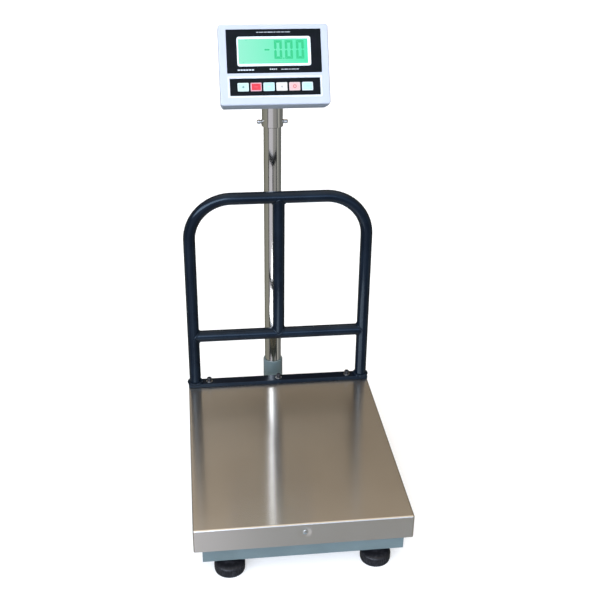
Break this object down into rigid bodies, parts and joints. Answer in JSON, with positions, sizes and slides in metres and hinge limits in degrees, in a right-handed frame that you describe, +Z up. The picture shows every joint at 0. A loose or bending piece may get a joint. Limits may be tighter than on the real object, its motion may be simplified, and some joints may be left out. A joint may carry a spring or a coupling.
{
  "type": "platform shipping scale",
  "caption": "Floor-standing platform scale: a stainless platter with a tubular rear guard on a levelled base frame, and a keypad indicator that swivels and tilts on a rear column.",
  "frame": {"origin": "on the floor, at the centre of the overall footprint", "axes": "+Z up, +X to the operator's right, -Y towards the operator who stands in front of the platter; the column is at +Y"},
  "size_m": [0.4, 0.66, 0.8675],
  "materials": {
    "brushed_stainless": "brushed stainless sheet, warm reflections, brush lines along the depth",
    "polished_steel": "polished stainless tube and fittings",
    "frame_paint": "grey-green semi-gloss enamel",
    "guard_paint": "near-black navy gloss enamel over welded tube",
    "zinc_plate": "zinc-plated fasteners",
    "black_oxide": "blackened socket-head screws",
    "foot_rubber": "black ribbed moulded rubber",
    "cell_aluminium": "anodised machined bar",
    "cable_sheath": "smooth grey cable sheath",
    "case_white": "white moulded plastic with a faint blue cast",
    "panel_black": "printed black polycarbonate faceplate",
    "display_green": "backlit pale green display in a white bezel, bright green digits",
    "board_green": "printed circuit board",
    "battery_grey": "moulded battery case",
    "port_black": "black moulded connector plastic",
    "key_1_colour": null,
    "key_2_colour": "red key with a pink border",
    "key_3_colour": null,
    "key_4_colour": "off-white key with a faint grey mark",
    "key_5_colour": "pale pink key with a red round mark",
    "key_6_colour": "pale blue key with a white border"
  },
  "bodies": {
    "base": {"base_rail_front": "frame_paint", "base_rail_rear": "frame_paint", "base_rail_left": "frame_paint", "base_rail_right": "frame_paint", "base_cross_plate": "frame_paint", "column_arm": "frame_paint", "column_socket": "frame_paint", "column_tube": "polished_steel", "load_cell": "cell_aluminium", "cell_bolt_base_1": "zinc_plate", "cell_bolt_base_2": "zinc_plate", "load_cell_cable": "cable_sheath", "overload_stop_1": "zinc_plate", "overload_stop_2": "zinc_plate", "overload_stop_3": "zinc_plate", "overload_stop_4": "zinc_plate"},
    "deck": {"platter": "brushed_stainless", "platter_screw": "zinc_plate", "deck_rail_left": "frame_paint", "deck_rail_right": "frame_paint", "deck_cross_front": "frame_paint", "deck_cross_rear": "frame_paint", "deck_cross_plate": "frame_paint", "cell_bolt_deck_1": "zinc_plate", "cell_bolt_deck_2": "zinc_plate", "guard_base_bar": "guard_paint", "guard_hoop": "guard_paint", "guard_crossbar": "guard_paint", "guard_centre_bar": "guard_paint", "guard_bolt_left": "black_oxide", "guard_bolt_centre": "black_oxide", "guard_bolt_right": "black_oxide"},
    "foot_front_left": {"foot_front_left_pad": "foot_rubber", "foot_front_left_stud": "zinc_plate"},
    "foot_front_right": {"foot_front_right_pad": "foot_rubber", "foot_front_right_stud": "zinc_plate"},
    "foot_rear_left": {"foot_rear_left_pad": "foot_rubber", "foot_rear_left_stud": "zinc_plate"},
    "foot_rear_right": {"foot_rear_right_pad": "foot_rubber", "foot_rear_right_stud": "zinc_plate"},
    "bracket": {"bracket_sleeve": "polished_steel", "bracket_yoke": "polished_steel", "tilt_bolt": "zinc_plate"},
    "clamp_left": {"clamp_screw_left": "polished_steel"},
    "clamp_right": {"clamp_screw_right": "polished_steel"},
    "indicator": {"front_case": "case_white", "rear_case": "case_white", "display_panel": "panel_black", "lcd_module": "display_green", "keypad_panel": "panel_black", "circuit_board": "board_green", "battery": "battery_grey", "power_inlet": "port_black", "cable_gland": "port_black"},
    "key_1": {"key_1": "key_1_colour"},
    "key_2": {"key_2": "key_2_colour"},
    "key_3": {"key_3": "key_3_colour"},
    "key_4": {"key_4": "key_4_colour"},
    "key_5": {"key_5": "key_5_colour"},
    "key_6": {"key_6": "key_6_colour"}
  },
  "joints": [
    {"name": "deck_load", "type": "slide", "parent": "base", "child": "deck", "axis": [0, 0, 1], "range_m": [-0.0015, 0], "stiffness_N_per_m": 1200000, "deforming": ["load_cell"]},
    {"name": "foot_front_left_level", "type": "slide", "parent": "base", "child": "foot_front_left", "axis": [0, 0, 1], "range_m": [-0.01, 0.005]},
    {"name": "foot_front_right_level", "type": "slide", "parent": "base", "child": "foot_front_right", "axis": [0, 0, 1], "range_m": [-0.01, 0.005]},
    {"name": "foot_rear_left_level", "type": "slide", "parent": "base", "child": "foot_rear_left", "axis": [0, 0, 1], "range_m": [-0.01, 0.005]},
    {"name": "foot_rear_right_level", "type": "slide", "parent": "base", "child": "foot_rear_right", "axis": [0, 0, 1], "range_m": [-0.01, 0.005]},
    {"name": "indicator_swivel", "type": "hinge", "parent": "base", "child": "bracket", "pos_m": [0, 0.3, 0.656], "axis": [0, 0, 1], "range_deg": [-170, 170]},
    {"name": "indicator_tilt", "type": "hinge", "parent": "bracket", "child": "indicator", "pos_m": [0, 0.3, 0.755], "axis": [1, 0, 0], "range_deg": [-30, 10]},
    {"name": "clamp_left_turn", "type": "hinge", "parent": "bracket", "child": "clamp_left", "pos_m": [-0.024, 0.3, 0.6655], "axis": [-1, 0, 0], "range_deg": [0, 540]},
    {"name": "clamp_right_turn", "type": "hinge", "parent": "bracket", "child": "clamp_right", "pos_m": [0.024, 0.3, 0.6655], "axis": [1, 0, 0], "range_deg": [0, 540]},
    {"name": "key_1_press", "type": "slide", "parent": "indicator", "child": "key_1", "axis": [0, 0.8988, -0.4384], "range_m": [0, 0.0008], "stiffness_N_per_m": 300},
    {"name": "key_2_press", "type": "slide", "parent": "indicator", "child": "key_2", "axis": [0, 0.8988, -0.4384], "range_m": [0, 0.0008], "stiffness_N_per_m": 300},
    {"name": "key_3_press", "type": "slide", "parent": "indicator", "child": "key_3", "axis": [0, 0.8988, -0.4384], "range_m": [0, 0.0008], "stiffness_N_per_m": 300},
    {"name": "key_4_press", "type": "slide", "parent": "indicator", "child": "key_4", "axis": [0, 0.8988, -0.4384], "range_m": [0, 0.0008], "stiffness_N_per_m": 300},
    {"name": "key_5_press", "type": "slide", "parent": "indicator", "child": "key_5", "axis": [0, 0.8988, -0.4384], "range_m": [0, 0.0008], "stiffness_N_per_m": 300},
    {"name": "key_6_press", "type": "slide", "parent": "indicator", "child": "key_6", "axis": [0, 0.8988, -0.4384], "range_m": [0, 0.0008], "stiffness_N_per_m": 300}
  ]
}
